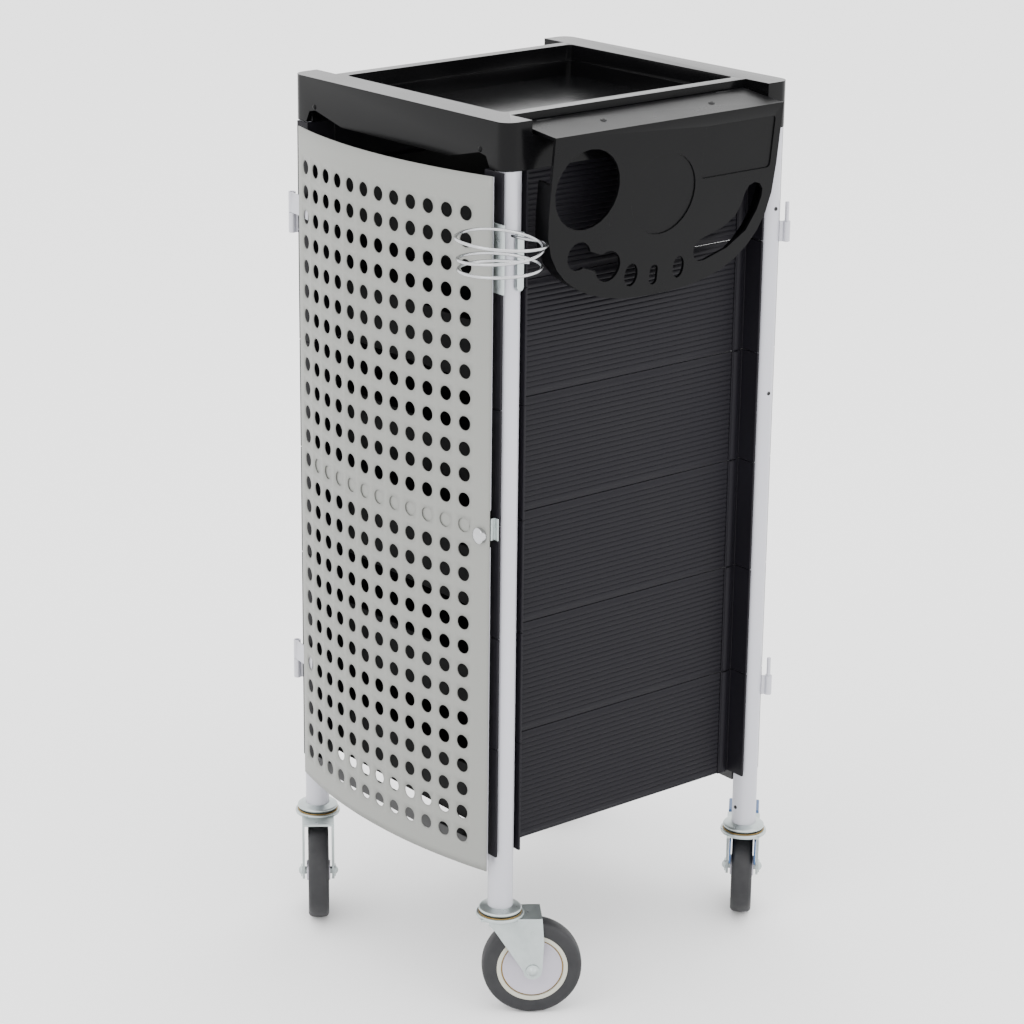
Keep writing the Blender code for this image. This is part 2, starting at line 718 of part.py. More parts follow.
def make_caster(corner):
    x, y = corners[corner]
    axle_z = wheel_diameter / 2
    inner = post_radius - post_wall - 0.0007
    race = raceway_diameter / 2
    top, below = post_foot_z, -0.0065
    stem = turned([(0, top + 0.035), (inner, top + 0.035), (inner, top - GAP),
                   (race - 0.004, top - GAP), (race, top - 0.0035), (race - 0.001, top + below),
                   (0.0048, top + below), (0.0048, top - 0.0155), (0, top - 0.0155)], 18)
    smooth(place("caster_stem_" + corner, stem, zinc, location=(x, y, 0)))

    swivel = empty("swivel_" + corner, (x, y, 0), caster_rest_degrees[corner])
    crown = union(box((-0.020, -0.017, top - 0.0105), (0.041, 0.017, top - 0.008)),
                  rod((0, 0, top - 0.0105), (0, 0, top + below - GAP), race - 0.0005, 18))
    half = fork_inside / 2
    legs = [prism([fork_leg()], half, half + fork_sheet, "XZ"),
            prism([fork_leg()], -half - fork_sheet, -half, "XZ")]
    bores = [rod((0, 0, top - 0.025), (0, 0, top + 0.005), 0.0052, 16),
             rod((wheel_trail, -0.03, axle_z), (wheel_trail, 0.03, axle_z),
                 axle_diameter / 2 + GAP, 14)]
    smooth(place("fork_" + corner, cut(union(crown, *legs), *bores), zinc, swivel))

    sides = 24
    radius, width = wheel_diameter / 2 / math.cos(math.pi / sides), wheel_width / 2
    bore = axle_diameter / 2 + GAP
    rim = [(bore, width + 0.0015), (0.011, width + 0.0015), (0.012, width - 0.0015),
           (0.036, width - 0.0015), (0.038, width), (radius - 0.0025, width - 0.001),
           (radius, width - 0.005)]
    profile = rim + [(r, -h) for r, h in reversed(rim)] + [rim[0]]
    wheel = turned(profile, sides)
    wheel.transform(Matrix.Rotation(math.pi / sides, 4, "Z"))
    wheel.transform(Matrix.Rotation(math.radians(90), 4, "X"))
    spin = empty("spin_" + corner, (wheel_trail, 0, axle_z), parent=swivel)
    smooth(place("wheel_" + corner, wheel, rubber, spin))

    end = half + fork_sheet + GAP
    head = 0.0065
    bolt = turned([(0, end + 0.0035), (head * 0.8, end + 0.0027), (head, end),
                   (axle_diameter / 2, end), (axle_diameter / 2, -end), (head, -end),
                   (head * 0.8, -end - 0.0027), (0, -end - 0.0035)], 14)
    bolt.transform(Matrix.Rotation(math.radians(90), 4, "X"))
    smooth(place("axle_" + corner, bolt, zinc, swivel, (wheel_trail, 0, axle_z)))


def make_brake(corner):
    """Pedal with an arm each side of the tyre, drawn about its rivet."""
    pivot_x, pivot_z = 0.020, post_foot_z - 0.018
    arm = [(-0.034, -0.025), (-0.024, -0.027), (-0.014, -0.008), (0.040, -0.0015),
           (0.040, 0.005), (-0.034, 0.0015)]
    near, far = wheel_width / 2 + 0.0010, fork_inside / 2 - 0.0005
    pedal = box((0.0375, -far - 0.002, 0.0010), (0.0680, far + 0.002, 0.0055))
    mesh = union(pedal, prism([arm], near, far, "XZ"), prism([arm], -far, -near, "XZ"))
    swivel = bpy.data.objects["swivel_" + corner]
    place("brake_" + corner, mesh, blue, swivel, (pivot_x, 0, pivot_z))


# ---------------------------------------------------------------- assembly
clear_scene()
parts = make_collection("salon_roller_trolley")
cutters = make_collection("cutters")

black = material("moulded_black_plastic", (0.018, 0.018, 0.020), 0.45)
steel = material("satin_silver_steel", (0.62, 0.63, 0.64), 0.35, 0.8)
zinc = material("zinc_plate", (0.55, 0.60, 0.60), 0.4, 0.9)
rubber = material("wheel_rubber", (0.03, 0.03, 0.04), 0.6)
blue = material("blue_plastic", (0.05, 0.11, 0.20), 0.5)

trolley = bpy.data.objects.new("trolley", None)
parts.objects.link(trolley)
hinge_place = Vector((-half_x, -half_y, 0)) + hinge_offset
door_axis = empty("door_axis", hinge_place)
lock_axis = empty("lock_axis", (lock_x - hinge_place.x, -hinge_place.y, lock_z), parent=door_axis)
tool_axis = empty("tool_axis", (tool_hinge_x, 0, tool_hinge_z))

make_posts()
make_rails()
make_modules()
make_tray()
make_door(hinge_place.x, hinge_place.y)
make_brackets()
make_lock()
make_strike()
make_tool_holder()
make_coil()
make_drawers()
for corner_name in corners:
    make_caster(corner_name)
for corner_name in ("rear_left", "rear_right"):
    make_brake(corner_name)

bpy.context.view_layer.update()
spots = [item.matrix_world @ vertex.co for item in parts.objects if item.type == "MESH"
         for vertex in item.data.vertices]
trolley.location = [-(min(spot[k] for spot in spots) + max(spot[k] for spot in spots)) / 2
                    for k in (0, 1)] + [0.0]
bpy.context.view_layer.update()
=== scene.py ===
# Salon roller trolley: finished surfaces, materials, floor, light and camera around the frame
import json
import math

import bmesh
import bpy
import numpy as np
from mathutils import Matrix, Vector


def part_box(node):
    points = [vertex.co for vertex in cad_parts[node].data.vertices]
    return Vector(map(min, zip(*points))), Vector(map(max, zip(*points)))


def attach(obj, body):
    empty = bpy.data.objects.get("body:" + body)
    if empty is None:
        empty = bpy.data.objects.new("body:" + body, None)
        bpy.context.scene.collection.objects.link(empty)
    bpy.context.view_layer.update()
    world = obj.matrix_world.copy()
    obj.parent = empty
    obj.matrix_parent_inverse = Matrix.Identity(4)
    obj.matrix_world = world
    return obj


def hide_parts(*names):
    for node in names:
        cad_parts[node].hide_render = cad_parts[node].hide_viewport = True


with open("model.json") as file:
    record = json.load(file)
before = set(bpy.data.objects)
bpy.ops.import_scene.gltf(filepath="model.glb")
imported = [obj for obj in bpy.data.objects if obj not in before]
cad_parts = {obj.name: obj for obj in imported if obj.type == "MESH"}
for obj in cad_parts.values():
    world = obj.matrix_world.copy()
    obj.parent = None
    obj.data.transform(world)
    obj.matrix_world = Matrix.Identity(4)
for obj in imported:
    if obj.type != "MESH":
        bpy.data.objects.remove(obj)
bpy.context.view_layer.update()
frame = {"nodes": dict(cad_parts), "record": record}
nodes = frame["nodes"]
record = frame["record"]
mm = 0.001
corners = ("front_left", "front_right", "rear_left", "rear_right")
# middle of the four posts, which the trolley's own measures are taken from
middle = np.mean([np.mean(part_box("post_" + corner), axis=0) for corner in corners], axis=0)
middle[2] = 0.0
print("frame loaded:", len(nodes), "nodes")


# ---- mesh helpers

def meshObject(name, vertices, faces):
    # vertices is an (n, 3) array and faces a list of index rows
    mesh = bpy.data.meshes.new(name)
    mesh.from_pydata(np.asarray(vertices, float).tolist(), [], faces)
    work = bmesh.new()
    work.from_mesh(mesh)
    bmesh.ops.remove_doubles(work, verts=work.verts, dist=2e-6)
    bmesh.ops.dissolve_degenerate(work, edges=work.edges, dist=1e-6)
    bmesh.ops.recalc_face_normals(work, faces=work.faces)
    work.to_mesh(mesh)
    work.free()
    piece = bpy.data.objects.new(name, mesh)
    bpy.context.scene.collection.objects.link(piece)
    return piece


def gridFaces(rows, columns, wrapRows=False, wrapColumns=False, first=0):
    # quads between neighbouring points of a rows x columns grid, closed round where wrapped
    index = np.arange(rows * columns).reshape(rows, columns) + first
    if wrapRows:
        index = np.vstack([index, index[:1]])
    if wrapColumns:
        index = np.hstack([index, index[:, :1]])
    quads = np.stack([index[:-1, :-1], index[1:, :-1], index[1:, 1:], index[:-1, 1:]], axis=-1)
    return quads.reshape(-1, 4).tolist()


def lathe(name, profile, steps=64, closed=False):
    # point (r, h) of the profile goes round the Z axis: (r cos a, r sin a, h) over a full turn of a
    profile = np.asarray(profile, float)
    angle = np.linspace(0, 2 * np.pi, steps, endpoint=False)
    r, h = profile[:, 0][None, :], profile[:, 1][None, :]
    grid = np.stack([r * np.cos(angle)[:, None], r * np.sin(angle)[:, None],
                     h + 0 * angle[:, None]], axis=-1)
    faces = gridFaces(steps, len(profile), wrapRows=True, wrapColumns=closed)
    return meshObject(name, grid.reshape(-1, 3), faces)


def carried(name, loop, path, normal, capped=True, ring=False):
    # a closed loop (u, v) is carried along the path: point = path + u side + v normal,
    # with side square to the path's direction and to the normal
    path = np.asarray(path, float)
    loop = np.asarray(loop, float)
    ahead = np.roll(path, -1, axis=0) - np.roll(path, 1, axis=0)
    if not ring:
        ahead[0] = path[1] - path[0]
        ahead[-1] = path[-1] - path[-2]
    ahead /= np.linalg.norm(ahead, axis=1)[:, None]
    side = np.cross(ahead, np.asarray(normal, float))
    side /= np.linalg.norm(side, axis=1)[:, None]
    lift = np.cross(side, ahead)
    grid = (path[:, None, :] + loop[None, :, :1] * side[:, None, :]
            + loop[None, :, 1:] * lift[:, None, :])
    count = len(loop)
    faces = gridFaces(len(path), count, wrapRows=ring, wrapColumns=True)
    if capped and not ring:
        last = (len(path) - 1) * count
        faces += [list(range(count)), list(range(last, last + count))[::-1]]
    return meshObject(name, grid.reshape(-1, 3), faces)


def circleLoop(radius, sides=14):
    angle = np.linspace(0, 2 * np.pi, sides, endpoint=False)
    return np.stack([radius * np.cos(angle), radius * np.sin(angle)], axis=-1)


def roundedLoop(width, height, radius, steps=4):
    # rectangle about the middle, each corner a quarter circle
    quarter = np.linspace(0, np.pi / 2, steps + 1)
    out = []
    for k, (sx, sy) in enumerate(((1, 1), (-1, 1), (-1, -1), (1, -1))):
        a = quarter + k * np.pi / 2
        out.append(np.stack([sx * (width / 2 - radius) + radius * np.cos(a),
                             sy * (height / 2 - radius) + radius * np.sin(a)], axis=-1))
    return np.vstack(out)


def place(piece, matrix):
    piece.data.transform(matrix)
    if matrix.determinant() < 0:
        piece.data.flip_normals()
    return piece


def joined(name, pieces):
    # several meshes become one piece
    work = bmesh.new()
    for piece in pieces:
        work.from_mesh(piece.data)
    mesh = bpy.data.meshes.new(name)
    work.to_mesh(mesh)
    work.free()
    for piece in pieces:
        bpy.data.objects.remove(piece, do_unlink=True)
    result = bpy.data.objects.new(name, mesh)
    bpy.context.scene.collection.objects.link(result)
    return result


def smooth(piece, degrees=35):
    piece.data.shade_smooth()
    piece.data.set_sharp_from_angle(angle=math.radians(degrees))
    return piece


def dress(piece, body, material):
    piece.data.materials.clear()
    piece.data.materials.append(material)
    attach(piece, body)
    return piece


bodyOf = {node: body for body, members in record["behaviour"]["bodies"].items() for node in members}


def merged(name):
    # welded copy of a frame node's mesh, with its flat faces made whole again
    work = bmesh.new()
    work.from_mesh(nodes[name].data)
    bmesh.ops.remove_doubles(work, verts=work.verts, dist=5e-6)
    bmesh.ops.dissolve_limit(work, angle_limit=math.radians(0.5), verts=work.verts,
                             edges=work.edges)
    mesh = bpy.data.meshes.new(name + "_finished")
    work.to_mesh(mesh)
    work.free()
    piece = bpy.data.objects.new(name + "_finished", mesh)
    bpy.context.scene.collection.objects.link(piece)
    return piece


def softened(name, width, material, segments=3, angle=30):
    # the node's own shape with rounded edges
    piece = merged(name)
    bevel = piece.modifiers.new("roundedEdges", "BEVEL")
    bevel.width = width
    bevel.segments = segments
    bevel.limit_method = "ANGLE"
    bevel.angle_limit = math.radians(angle)
    bevel.harden_normals = True
    smooth(piece, 40)
    dress(piece, bodyOf[name], material)
    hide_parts(name)
    return piece


# ---- materials

def toLinear(code):
    values = np.array([int(code[i:i + 2], 16) for i in (1, 3, 5)]) / 255
    linear = np.where(values <= 0.04045, values / 12.92, ((values + 0.055) / 1.055) ** 2.4)
    return (*linear.tolist(), 1.0)


def addNode(tree, kind, settings=None, values=None, links=None):
    node = tree.nodes.new(kind)
    for key, value in (settings or {}).items():
        setattr(node, key, value)
    for key, value in (values or {}).items():
        node.inputs[key].default_value = value
    for key, socket in (links or {}).items():
        tree.links.new(socket, node.inputs[key])
    return node


def newMaterial(name, values):
    material = bpy.data.materials.new(name)
    material.use_nodes = True
    tree = material.node_tree
    shader = tree.nodes["Principled BSDF"]
    for key, value in values.items():
        shader.inputs[key].default_value = value
    return material, tree, shader


def finish(name, values, low, high, patch, grain, depth, roughLow, roughHigh, stretch=(1, 1, 1)):
    # colour drifts between two tones over patches, roughness with it, and a fine grain gives
    # the bump; patch and grain are sizes and depth the grain's height, all in millimetres
    material, tree, shader = newMaterial(name, values)
    coords = addNode(tree, "ShaderNodeTexCoord")
    turned = addNode(tree, "ShaderNodeMapping", values={"Scale": stretch},
                     links={"Vector": coords.outputs["Object"]})
    drift = addNode(tree, "ShaderNodeTexNoise", values={"Scale": 1000 / patch, "Detail": 4.0},
                    links={"Vector": turned.outputs["Vector"]})
    tones = addNode(tree, "ShaderNodeMix", {"data_type": "RGBA"},
                    {6: toLinear(low), 7: toLinear(high)}, {0: drift.outputs["Fac"]})
    tree.links.new(tones.outputs[2], shader.inputs["Base Color"])
    spread = addNode(tree, "ShaderNodeMapRange", values={"From Min": 0.3, "From Max": 0.7,
                     "To Min": roughLow, "To Max": roughHigh}, links={"Value": drift.outputs["Fac"]})
    tree.links.new(spread.outputs["Result"], shader.inputs["Roughness"])
    fine = addNode(tree, "ShaderNodeTexNoise", values={"Scale": 1000 / grain, "Detail": 2.0},
                   links={"Vector": turned.outputs["Vector"]})
    bump = addNode(tree, "ShaderNodeBump", values={"Strength": 1.0, "Distance": depth * mm},
                   links={"Height": fine.outputs["Fac"]})
    tree.links.new(bump.outputs["Normal"], shader.inputs["Normal"])
    return material


# injection-moulded ABS, spark-eroded mould: soft sheen, sub-millimetre grain (drawn at 0.9 mm)
trayPlastic = finish("mouldedAbsBlack", {"IOR": 1.53, "Specular IOR Level": 0.10}, "#070708", "#0A0A0B",
                     60, 0.9, 0.004, 0.14, 0.20)
# the tool holder's ABS comes from a polished tool: glossier
holderPlastic = finish("mouldedAbsBlackGloss", {"IOR": 1.53, "Specular IOR Level": 0.08}, "#060607",
                       "#09090A", 50, 0.8, 0.003, 0.27, 0.31)
# side modules in polypropylene, duller and a little blue
modulePlastic = finish("mouldedPolypropyleneBlack", {"IOR": 1.49, "Specular IOR Level": 0.12},
                       "#111014", "#151419", 80, 1.1, 0.012, 0.44, 0.54)
drawerPlastic = finish("mouldedPolystyreneBlack", {"IOR": 1.55, "Specular IOR Level": 0.12}, "#09090A",
                       "#0C0C0D", 70, 1.0, 0.006, 0.4, 0.5)
# silver powder-coat on tube: half metallic, an even fine orange peel
tubePaint = finish("silverPowderCoat", {"Metallic": 0.35}, "#AFAFB6", "#B6B6BD", 40, 1.3, 0.004,
                   0.34, 0.40, (1, 1, 0.15))
# the door's sheet has a greyer coat
doorPaint = finish("silverGreyPowderCoat", {"Metallic": 0.25}, "#7B7C78", "#81827E", 90, 1.2, 0.007,
                   0.42, 0.5)
# bright zinc plate: slightly blue, cloudy
zincPlate = finish("brightZincPlate", {"Metallic": 0.85}, "#A0A8A7", "#B6BEBE", 9, 1.0, 0.006,
                   0.26, 0.42)
yellowZinc = finish("yellowPassivatedZinc", {"Metallic": 0.8}, "#7A6238", "#8F7748", 6, 1.0, 0.006,
                    0.3, 0.4)
# nickel-chrome wire
chromeWire = finish("nickelChromePlate", {"Metallic": 1.0}, "#A6A7A9", "#B4B5B7", 14, 1.2, 0.003,
                    0.16, 0.24)
# thermoplastic rubber tread: dull, faint blue cast, with lint from the floor
treadRubber = finish("treadRubberCharcoal", {"IOR": 1.52}, "#0C0C10", "#131317", 12, 1.4, 0.03,
                     0.55, 0.7)
hubNylon = finish("nylonHubLavenderGrey", {"IOR": 1.53}, "#A39FA9", "#AAA6B0", 25, 1.1, 0.008,
                  0.42, 0.5)
rimNylon = finish("nylonRimCream", {"IOR": 1.53}, "#A8A79A", "#B0AFA2", 20, 1.1, 0.008, 0.4, 0.5)
brakeNylon = finish("nylonBrakeBlue", {"IOR": 1.53}, "#2E4E76", "#365985", 25, 1.1, 0.008, 0.4, 0.5)
railPaint = finish("blackEnamelRail", {"IOR": 1.5}, "#19191A", "#222223", 50, 1.2, 0.008, 0.4, 0.5)
shadowPlastic = finish("screwRecessDark", {"IOR": 1.5}, "#0E0E0F", "#151516", 10, 1.0, 0.006, 0.6, 0.7)
print("materials done")


# ---- tray

trayLook = {"edge": 0.0022, "pinAcross": 0.1305, "pinRise": 0.0165}
softened("top_tray", trayLook["edge"], trayPlastic, 4)

trayLow = np.array(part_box("top_tray")[0])
earPins = []
for sign in (-1, 1):
    dome = lathe("pin", [(0, 0.0014), (0.0013, 0.0012), (0.0024, 0.0006), (0.0028, 0),
                         (0.0028, -0.003), (0, -0.003)], 24)
    pinSpot = (middle[0] + sign * trayLook["pinAcross"], trayLow[1], trayLow[2] + trayLook["pinRise"])
    matrix = Matrix.Translation(pinSpot) @ Matrix.Rotation(math.radians(90), 4, "X")
    earPins.append(place(dome, matrix))
pins = smooth(joined("tray_ear_pins", earPins))
dress(pins, "frame", holderPlastic)
print("tray done")


# ---- posts and their screws

postLook = {"sides": 72, "wall": 0.0015, "rim": 0.0006}
for corner in corners:
    low, high = (np.array(v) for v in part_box("post_" + corner))
    centre = (low + high) / 2
    radius = (high - low)[0] / 2
    inner, rim = radius - postLook["wall"], postLook["rim"]
    profile = [(inner, high[2]), (radius - rim, high[2]), (radius, high[2] - rim),
               (radius, low[2] + rim), (radius - rim, low[2]), (inner, low[2])]
    tube = lathe("post_" + corner + "_tube", profile, postLook["sides"], closed=True)
    place(tube, Matrix.Translation((centre[0], centre[1], 0)))
    dress(smooth(tube), "frame", tubePaint)
    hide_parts("post_" + corner)

screwLook = {"places": ((0.777, 0), (0.588, 0), (0.135, -90)), "radius": 0.0021}
lowPost, highPost = (np.array(v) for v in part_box("post_rear_right"))
postMiddle = (lowPost + highPost) / 2
postRadius = (highPost - lowPost)[0] / 2
screws = []
for height, heading in screwLook["places"]:
    r = screwLook["radius"]
    head = lathe("screw", [(0, 0.0002), (r * 0.45, 0.0001), (r * 0.5, 0.0007), (r * 0.85, 0.0006),
                           (r, 0.0), (r, -0.0015), (0, -0.0015)], 20)
    turn = Matrix.Rotation(math.radians(90), 4, "Y")
    spot = Matrix.Translation((postMiddle[0], postMiddle[1], height)) @ Matrix.Rotation(
        math.radians(heading), 4, "Z") @ Matrix.Translation((postRadius, 0, 0)) @ turn
    screws.append(place(head, spot))
dress(smooth(joined("post_screws", screws)), "frame", shadowPlastic)
print("posts done")


# ---- side modules: ribbed skin and beads over the moulded shell

moduleLook = {"ribPitch": 0.0051, "ribHeight": 0.0010, "ribMargin": 0.0022, "skinHalf": 0.1335,
              "beadMiddle": 0.1400, "beadWidth": 0.0105, "beadHeight": 0.0030, "edge": 0.0006,
              "face": 0.1440}


def ribbedSkin(name, low, high, face):
    # x = face + height * sqrt|sin| of the rib phase along z, flat at both margins; carried along Y
    margin, pitch = moduleLook["ribMargin"], moduleLook["ribPitch"]
    count = int((high - low - 2 * margin) / pitch)
    start = (low + high) / 2 - count * pitch / 2
    phase = np.linspace(0, count, count * 8 + 1)
    z = np.concatenate([[low], start + phase * pitch, [high]])
    wave = moduleLook["ribHeight"] * np.sqrt(np.abs(np.sin(np.pi * phase)))
    x = np.concatenate([[face + 0.0002], face + 0.0002 + wave, [face + 0.0002]])
    loop = np.vstack([np.stack([x, z], axis=-1), [[face - 0.0008, high], [face - 0.0008, low]]])
    half = moduleLook["skinHalf"]
    grid = np.stack([np.column_stack([loop[:, 0], np.full(len(loop), y), loop[:, 1]])
                     for y in (-half, half)])
    n = len(loop)
    faces = gridFaces(2, n, wrapColumns=True) + [list(range(n)), list(range(n, 2 * n))[::-1]]
    return meshObject(name, grid.reshape(-1, 3), faces)


def bead(name, low, high, face, y):
    # half ellipse of the bead's width and height, carried up the module and drawn in at both ends
    angle = np.linspace(0, np.pi, 13)
    width, tall = moduleLook["beadWidth"] / 2, moduleLook["beadHeight"]
    loop = np.vstack([np.stack([tall * np.sin(angle), width * np.cos(angle)], axis=-1),
                      [[-0.0005, -width], [-0.0005, width]]])
    levels = np.array([low, low + 0.0006, low + 0.002, high - 0.002, high - 0.0006, high])
    shrink = np.array([0.55, 0.85, 1.0, 1.0, 0.85, 0.55])
    grid = np.stack([face + loop[None, :, 0] * shrink[:, None],
                     y + loop[None, :, 1] * (0.5 + 0.5 * shrink[:, None]),
                     levels[:, None] + 0 * loop[None, :, 0]], axis=-1)
    n = len(loop)
    faces = gridFaces(6, n, wrapColumns=True) + [list(range(n)), list(range(5 * n, 6 * n))[::-1]]
    return meshObject(name, grid.reshape(-1, 3), faces)


for side, sign in (("right", 1), ("left", -1)):
    for number in range(1, 7):
        node = f"side_module_{side}_{number}"
        low, high = (np.array(v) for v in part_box(node))
        softened(node, moduleLook["edge"], modulePlastic, 2)
        parts = [ribbedSkin("skin", low[2] + 0.0002, high[2] - 0.0002,
                            moduleLook["face"])]
        for y in (-moduleLook["beadMiddle"], moduleLook["beadMiddle"]):
            parts.append(bead("bead", low[2], high[2], moduleLook["face"], y))
        skin = joined(f"side_skin_{side}_{number}", parts)
        place(skin, Matrix.Translation(middle) @ Matrix.Scale(sign, 4, (1, 0, 0)))
        dress(smooth(skin, 60), "frame", modulePlastic)
print("side modules done")


# ---- door: curved sheet with its grid of round holes

doorLook = {"columns": 12, "rows": 26, "firstAlong": -0.1356, "pitchAlong": 0.02364, "topRow": 0.8169,
            "pitchUpper": 0.0253, "pitchLower": 0.02482, "changeRow": 12, "hole": 0.0072,
            "sheet": 0.0012, "sides": 24}
doorLow, doorHigh = (np.array(v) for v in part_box("door_panel"))
doorMiddle = (doorLow[0] + doorHigh[0]) / 2
arcHalf = (doorHigh[0] - doorLow[0]) / 2
arcRise = doorHigh[1] - doorLow[1] - doorLook["sheet"]
arcRadius = (arcHalf ** 2 + arcRise ** 2) / (2 * arcRise)
arcCentreY = doorHigh[1] - arcRise + arcRadius
alongEnd = (arcRadius + doorLook["sheet"]) * math.asin(arcHalf / (arcRadius + doorLook["sheet"]))


def onArc(along, z, outward):
    # (along, z) on the sheet's cylinder: x = middle + R sin t, y = centre - R cos t, with t = along / R
    radius = arcRadius + outward
    t = along / (arcRadius + doorLook["sheet"])
    return np.stack([doorMiddle + radius * np.sin(t), arcCentreY - radius * np.cos(t), z], axis=-1)


def doorSheet():
    # each cell of the grid is a ring of quads from the hole's circle out to the cell's rectangle;
    # plain strips fill the four margins, on the same dividing lines
    look = doorLook
    column = look["firstAlong"] + look["pitchAlong"] * np.arange(look["columns"])
    row = np.arange(look["rows"])
    turnover = look["changeRow"]
    z = (look["topRow"] - look["pitchUpper"] * np.minimum(row, turnover)
         - look["pitchLower"] * np.maximum(row - turnover, 0))
    zEdge = np.concatenate([[z[0] + look["pitchUpper"] / 2], (z[:-1] + z[1:]) / 2,
                            [z[-1] - look["pitchLower"] / 2]])
    angle = np.linspace(0, 2 * np.pi, look["sides"], endpoint=False)
    clampX = np.clip(math.sqrt(2) * np.cos(angle), -1, 1)
    clampY = np.clip(math.sqrt(2) * np.sin(angle), -1, 1)
    shape = (look["rows"], look["columns"], look["sides"])
    rim = np.stack([np.broadcast_to(column[None, :, None] + look["hole"] * np.cos(angle), shape),
                    np.broadcast_to(z[:, None, None] + look["hole"] * np.sin(angle), shape)], axis=-1)
    upper, lower = (zEdge[:-1] - z)[:, None, None], (z - zEdge[1:])[:, None, None]
    out = np.stack([np.broadcast_to(column[None, :, None] + look["pitchAlong"] / 2 * clampX, shape),
                    z[:, None, None] + np.where(clampY > 0, clampY * upper, clampY * lower)
                    + 0 * column[None, :, None]], axis=-1)
    flat = np.concatenate([rim.reshape(-1, look["sides"], 2),
                           out.reshape(-1, look["sides"], 2)], axis=1)
    points = [flat.reshape(-1, 2)]
    cells = look["rows"] * look["columns"]
    base = np.arange(cells)[:, None] * 2 * look["sides"]
    k = np.arange(look["sides"])
    following = (k + 1) % look["sides"]
    quads = np.stack([base + k, base + look["sides"] + k, base + look["sides"] + following,
                      base + following], axis=-1).reshape(-1, 4)
    faces = quads.tolist()
    share = np.unique(np.round(clampX, 9))
    alongLines = np.unique(np.round((column[:, None] + look["pitchAlong"] / 2 * share).ravel(), 8))
    zLines = np.unique(np.round(np.where(share[None, :] > 0, z[:, None] + share * upper[:, :, 0],
                                         z[:, None] + share * lower[:, :, 0]).ravel(), 8))
    left = np.array([-alongEnd, (-alongEnd + alongLines[0]) / 2, alongLines[0]])
    right = np.linspace(alongLines[-1], alongEnd, 5)
    bottom = np.array([doorLow[2], (doorLow[2] + zLines[0]) / 2, zLines[0]])
    top = np.array([zLines[-1], (doorHigh[2] + zLines[-1]) / 2, doorHigh[2]])
    allAlong = np.concatenate([left[:-1], alongLines, right[1:]])
    first = len(points[0])
    for lines, levels in ((allAlong, bottom), (allAlong, top), (left, zLines), (right, zLines)):
        a, b = np.meshgrid(lines, levels, indexing="ij")
        points.append(np.stack([a.ravel(), b.ravel()], axis=-1))
        faces += gridFaces(len(lines), len(levels), first=first)
        first += a.size
    flat = np.vstack(points)
    mesh = bpy.data.meshes.new("door_sheet")
    mesh.from_pydata(onArc(flat[:, 0], flat[:, 1], look["sheet"]).tolist(), [], faces)
    work = bmesh.new()
    work.from_mesh(mesh)
    bmesh.ops.remove_doubles(work, verts=work.verts, dist=3e-5)
    bmesh.ops.recalc_face_normals(work, faces=work.faces)
    if sum(f.normal.y * f.calc_area() for f in work.faces) > 0:
        bmesh.ops.reverse_faces(work, faces=work.faces)
    work.to_mesh(mesh)
    work.free()
    piece = bpy.data.objects.new("door_sheet", mesh)
    bpy.context.scene.collection.objects.link(piece)
    wall = piece.modifiers.new("wall", "SOLIDIFY")
    wall.thickness = look["sheet"]
    wall.offset = -1
    wall.use_even_offset = False
    return piece


sheet = smooth(doorSheet(), 40)
dress(sheet, "door", doorPaint)
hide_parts("door_panel")

barLow, barHigh = (np.array(v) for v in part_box("door_crossbar"))
softened("door_crossbar", 0.0003, doorPaint, 2)

# turned edges beside the posts, the right one left open where the strike reaches behind it; the fold is
# the sheet's own, but it is dressed in the lighter post coat as a painted highlight along the door's
# edges
hemParts = []
for sign, low, high in ((1, doorLow[2] + 0.0005, barLow[2] - 0.006),
                        (1, barHigh[2] + 0.010, doorHigh[2] - 0.0005),
                        (-1, doorLow[2] + 0.0005, doorHigh[2] - 0.0005)):
    loop = roundedLoop(0.0011, 0.0020, 0.0005, 3)
    spot = onArc(np.array([sign * (alongEnd - 0.0006)]), np.array([0.0]), -0.0009)[0]
    hemParts.append(carried("hem", loop, [(spot[0], spot[1], low), (spot[0], spot[1], high)],
                            (math.sin(-0.27 * sign), math.cos(-0.27), 0)))
hem = joined("door_turned_edge_painted_highlight", hemParts)
# painted highlight: the sheet's turned edge takes the lighter post coat, not the door's own coat
dress(smooth(hem), "door", tubePaint)

for name in ("door_leaf_lower", "door_leaf_upper"):
    softened(name, 0.0003, tubePaint, 2)
for name in ("hinge_bracket_front_lower", "hinge_bracket_front_upper", "hinge_bracket_rear_lower",
             "hinge_bracket_rear_upper"):
    softened(name, 0.0004, tubePaint, 2)
softened("lock_strike", 0.0003, zincPlate, 2)
softened("door_lock", 0.0004, chromeWire, 3)
print("door done")


# ---- tool holder

holderLook = {"edge": 0.0009, "leanDegrees": 6.5, "hingeX": 0.1415, "hingeZ": 0.893,
              "flangeTop": 0.0028, "screwReach": 0.026}
softened("tool_panel", holderLook["edge"], holderPlastic, 3)
softened("tool_hinge_rod", 0.0004, shadowPlastic, 2)
flangeScrews = []
for y in (-0.0615, 0.0744):
    head = lathe("screw", [(0, 0.0003), (0.0012, 0.0003), (0.0014, 0.0010), (0.0024, 0.0011),
                           (0.0031, 0.0005), (0.0032, -0.0006), (0, -0.0006)], 24)
    lean = math.radians(holderLook["leanDegrees"])
    reach = holderLook["screwReach"]
    spot = Matrix.Translation((middle[0] + holderLook["hingeX"] + reach * math.cos(lean), middle[1] + y,
                               holderLook["hingeZ"] - reach * math.sin(lean)
                               + holderLook["flangeTop"] * math.cos(lean)))
    flangeScrews.append(place(head, spot @ Matrix.Rotation(lean, 4, "Y")))
dress(smooth(joined("flange_screws", flangeScrews), 50), "tool_holder", shadowPlastic)
softened("bottom_rail_front", 0.0008, railPaint, 2)
softened("bottom_rail_rear", 0.0008, railPaint, 2)
for number in range(1, 7):
    softened(f"drawer_{number}", 0.0009, drawerPlastic, 3)
